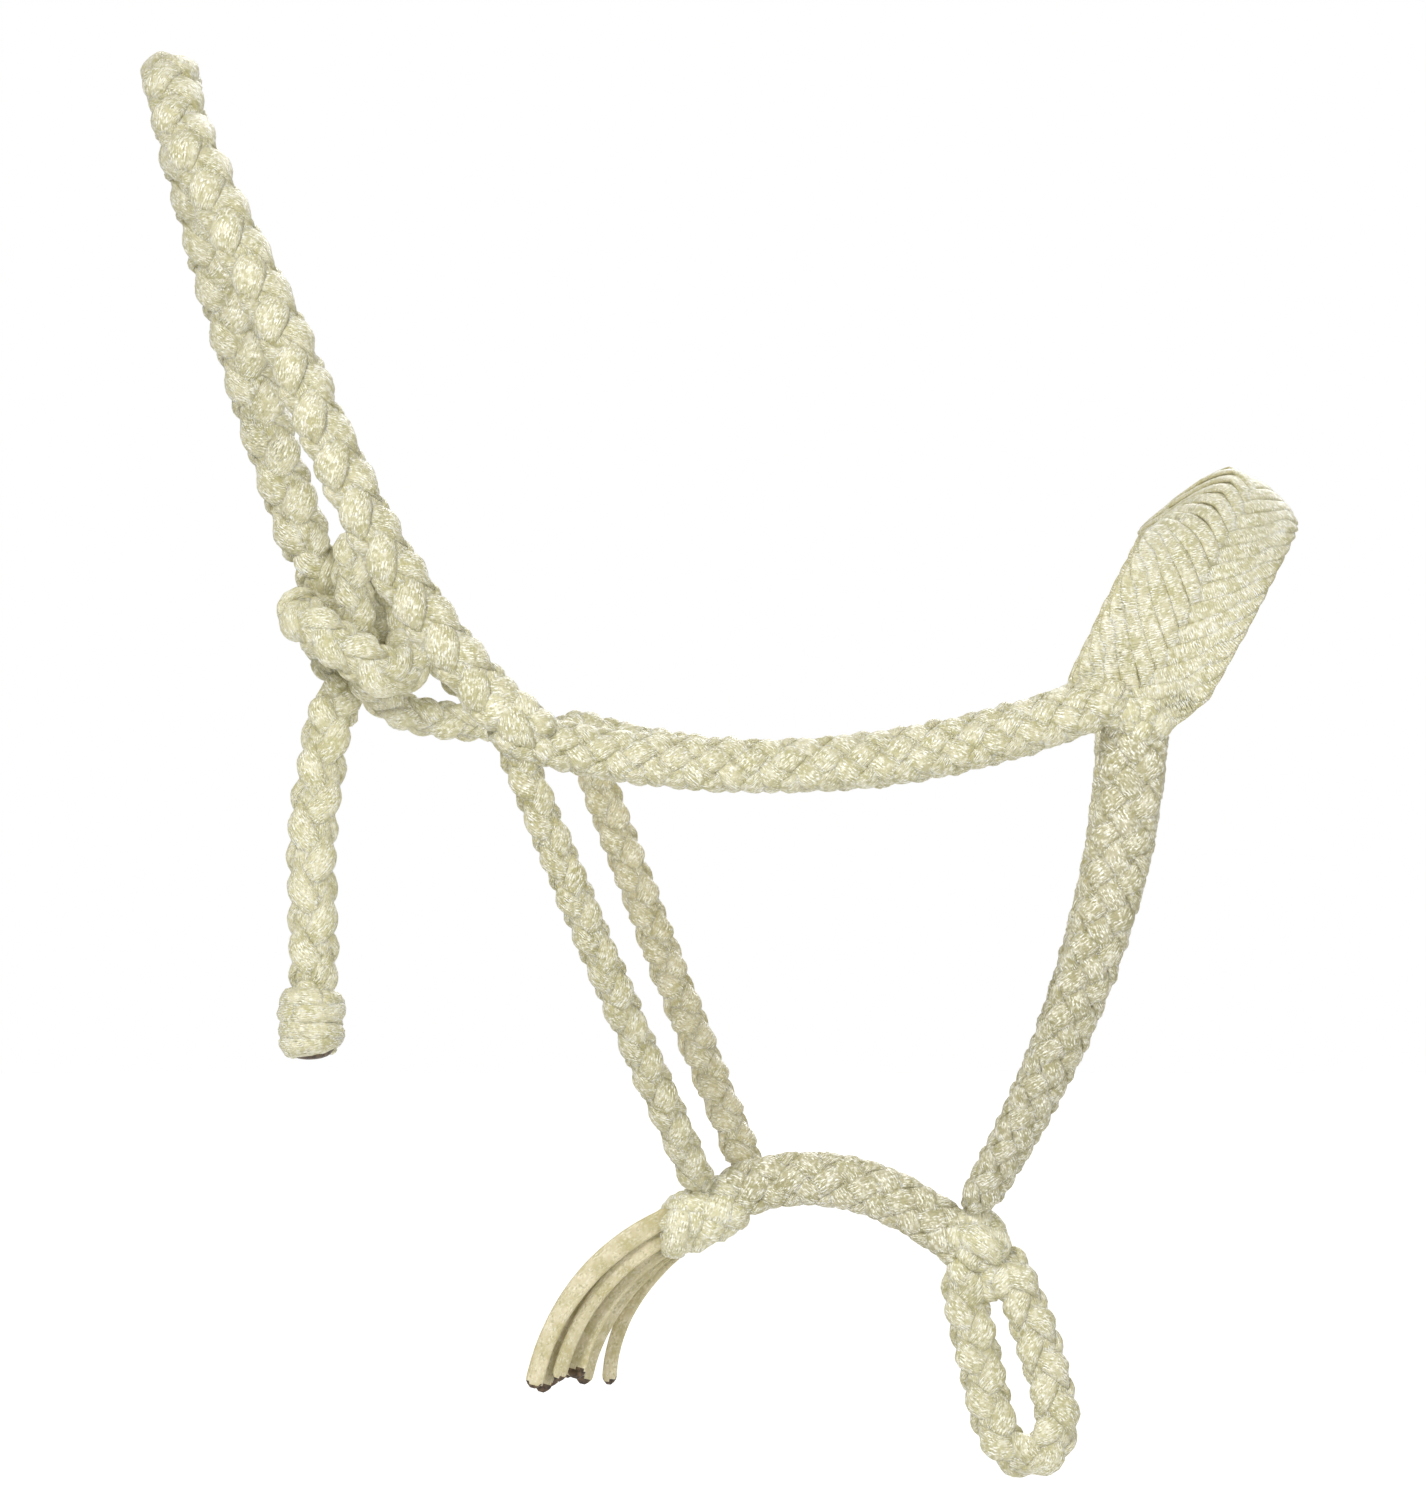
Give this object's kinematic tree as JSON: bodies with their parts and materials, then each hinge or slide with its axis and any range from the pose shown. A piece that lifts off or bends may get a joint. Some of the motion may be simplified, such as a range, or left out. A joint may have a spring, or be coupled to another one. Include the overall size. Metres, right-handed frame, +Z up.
{
  "type": "rope halter",
  "caption": "Horse halter hand-braided from flat woven tape: wide plaited noseband, braided cheeks, chin, jaw and throat straps, tied crown with a hanging tail, lead loop and fringe.",
  "frame": {"origin": "centre of the lead loop's inner bend, where a lead rope sits", "axes": "+X towards the horse's nose, +Y to the horse's left, +Z up, in the worn shape"},
  "size_m": [0.3974, 0.1875, 0.4889],
  "materials": {
    "eight_strand_braid": "satin woven polyester tape, braided",
    "four_strand_braid": "satin woven polyester tape, braided",
    "noseband_plait": "satin woven polyester tape, flat plait",
    "knotted_tape": "satin woven polyester tape, knotted",
    "folded_tape": "satin woven polyester tape",
    "melted_end": "melted polyester, brown"
  },
  "bodies": {
    "jaw": {"jaw_strap": "eight_strand_braid", "heel_knot": "knotted_tape", "throat_knot": "knotted_tape"},
    "right_side": {"right_cheek": "eight_strand_braid", "right_chin_strap": "eight_strand_braid", "right_throat_strap": "four_strand_braid", "right_nose_junction": "knotted_tape"},
    "left_side": {"left_cheek": "eight_strand_braid", "left_chin_strap": "eight_strand_braid", "left_throat_strap": "four_strand_braid", "left_nose_junction": "knotted_tape", "left_tie_junction": "knotted_tape"},
    "nose_right": {"noseband_right": "noseband_plait"},
    "nose_left": {"noseband_left": "noseband_plait"},
    "crown_pivot": {"right_crown_junction": "knotted_tape"},
    "crown_right": {"crown_right": "four_strand_braid"},
    "crown_left": {"crown_left": "four_strand_braid", "tie_loop": "four_strand_braid", "tie_turn": "four_strand_braid"},
    "tail_neck": {"tail_neck": "knotted_tape"},
    "tail_upper": {"tail_upper": "four_strand_braid"},
    "tail_lower": {"tail_lower": "four_strand_braid", "stopper_knot": "knotted_tape", "melted_end": "melted_end"},
    "loop_neck": {"lead_loop_neck": "knotted_tape"},
    "lead_loop": {"lead_loop": "four_strand_braid"},
    "tape_1": {"fringe_tape_1": "folded_tape"},
    "tape_2": {"fringe_tape_2": "folded_tape"},
    "tape_3": {"fringe_tape_3": "folded_tape"},
    "tape_4": {"fringe_tape_4": "folded_tape"},
    "tape_5": {"fringe_tape_5": "folded_tape"},
    "tape_6": {"fringe_tape_6": "folded_tape"},
    "tape_7": {"fringe_tape_7": "folded_tape"},
    "tape_8": {"fringe_tape_8": "folded_tape"}
  },
  "joints": [
    {"name": "squeeze", "type": "hinge", "parent": "jaw", "child": "right_side", "pos_m": [-0.06, 0, 0.068], "axis": [1, 0, 0], "range_deg": [-6, 5], "stiffness_Nm_per_rad": 2},
    {"name": "left_side_fold", "type": "hinge", "parent": "jaw", "child": "left_side", "pos_m": [-0.06, 0, 0.068], "axis": [1, 0, 0], "range_deg": [-5, 6], "stiffness_Nm_per_rad": 2},
    {"name": "nose_right_fold", "type": "hinge", "parent": "right_side", "child": "nose_right", "pos_m": [0.034, -0.048, 0.244], "axis": [1, 0, 0], "range_deg": [-16.75, 20.1], "stiffness_Nm_per_rad": 0.2},
    {"name": "bridge_fold", "type": "hinge", "parent": "nose_right", "child": "nose_left", "pos_m": [0.0728, 0, 0.3185], "axis": [1, 0, 0], "range_deg": [-28.5, 23.75], "stiffness_Nm_per_rad": 0.2},
    {"name": "crown_rock", "type": "hinge", "parent": "right_side", "child": "crown_pivot", "pos_m": [-0.182, -0.082, 0.246], "axis": [0.0969, 0.9931, -0.0666], "range_deg": [-12, 18], "stiffness_Nm_per_rad": 2},
    {"name": "crown_right_fold", "type": "hinge", "parent": "crown_pivot", "child": "crown_right", "pos_m": [-0.182, -0.082, 0.246], "axis": [1, 0, 0], "range_deg": [-8.9, 10.68], "stiffness_Nm_per_rad": 0.2},
    {"name": "poll_fold", "type": "hinge", "parent": "crown_right", "child": "crown_left", "pos_m": [-0.295, 0, 0.466], "axis": [1, 0, 0], "range_deg": [-9.24, 7.7], "stiffness_Nm_per_rad": 0.2},
    {"name": "tail_sway", "type": "hinge", "parent": "crown_left", "child": "tail_neck", "pos_m": [-0.24, 0.084, 0.246], "axis": [1, 0, 0], "range_deg": [-20, 40]},
    {"name": "tail_swing", "type": "hinge", "parent": "tail_neck", "child": "tail_upper", "pos_m": [-0.24, 0.084, 0.246], "axis": [0, 1, 0], "range_deg": [-30, 60]},
    {"name": "tail_curl", "type": "hinge", "parent": "tail_upper", "child": "tail_lower", "pos_m": [-0.248, 0.084, 0.178], "axis": [0, 1, 0], "range_deg": [-12, 24]},
    {"name": "loop_sway", "type": "hinge", "parent": "jaw", "child": "loop_neck", "pos_m": [-0.01125, 0, 0.04614], "axis": [1, 0, 0], "range_deg": [-35, 35]},
    {"name": "loop_swing", "type": "hinge", "parent": "loop_neck", "child": "lead_loop", "pos_m": [-0.01125, 0, 0.04614], "axis": [0, 1, 0], "range_deg": [-50, 25]},
    {"name": "fringe_swing", "type": "hinge", "parent": "jaw", "child": "tape_4", "pos_m": [-0.124, 0, 0.067], "axis": [0, 1, 0], "range_deg": [-30, 30]},
    {"name": "tape_1_swing", "type": "hinge", "parent": "jaw", "child": "tape_1", "pos_m": [-0.124, 0, 0.067], "axis": [0, 1, 0], "range_deg": [-25.5, 25.5]},
    {"name": "tape_2_swing", "type": "hinge", "parent": "jaw", "child": "tape_2", "pos_m": [-0.124, 0, 0.067], "axis": [0, 1, 0], "range_deg": [-33, 33]},
    {"name": "tape_3_swing", "type": "hinge", "parent": "jaw", "child": "tape_3", "pos_m": [-0.124, 0, 0.067], "axis": [0, 1, 0], "range_deg": [-21, 21]},
    {"name": "tape_5_swing", "type": "hinge", "parent": "jaw", "child": "tape_5", "pos_m": [-0.124, 0, 0.067], "axis": [0, 1, 0], "range_deg": [-27, 27]},
    {"name": "tape_6_swing", "type": "hinge", "parent": "jaw", "child": "tape_6", "pos_m": [-0.124, 0, 0.067], "axis": [0, 1, 0], "range_deg": [-36, 36]},
    {"name": "tape_7_swing", "type": "hinge", "parent": "jaw", "child": "tape_7", "pos_m": [-0.124, 0, 0.067], "axis": [0, 1, 0], "range_deg": [-22.5, 22.5]},
    {"name": "tape_8_swing", "type": "hinge", "parent": "jaw", "child": "tape_8", "pos_m": [-0.124, 0, 0.067], "axis": [0, 1, 0], "range_deg": [-31.5, 31.5]}
  ],
  "couplings": [
    {"joint": "left_side_fold", "follows": "squeeze", "ratio": -1},
    {"joint": "nose_right_fold", "follows": "squeeze", "ratio": -3.35},
    {"joint": "bridge_fold", "follows": "squeeze", "ratio": 4.75},
    {"joint": "crown_right_fold", "follows": "squeeze", "ratio": -1.78},
    {"joint": "poll_fold", "follows": "squeeze", "ratio": 1.54},
    {"joint": "tail_curl", "follows": "tail_swing", "ratio": 0.4},
    {"joint": "tape_1_swing", "follows": "fringe_swing", "ratio": 0.85},
    {"joint": "tape_2_swing", "follows": "fringe_swing", "ratio": 1.1},
    {"joint": "tape_3_swing", "follows": "fringe_swing", "ratio": 0.7},
    {"joint": "tape_5_swing", "follows": "fringe_swing", "ratio": 0.9},
    {"joint": "tape_6_swing", "follows": "fringe_swing", "ratio": 1.2},
    {"joint": "tape_7_swing", "follows": "fringe_swing", "ratio": 0.75},
    {"joint": "tape_8_swing", "follows": "fringe_swing", "ratio": 1.05}
  ]
}
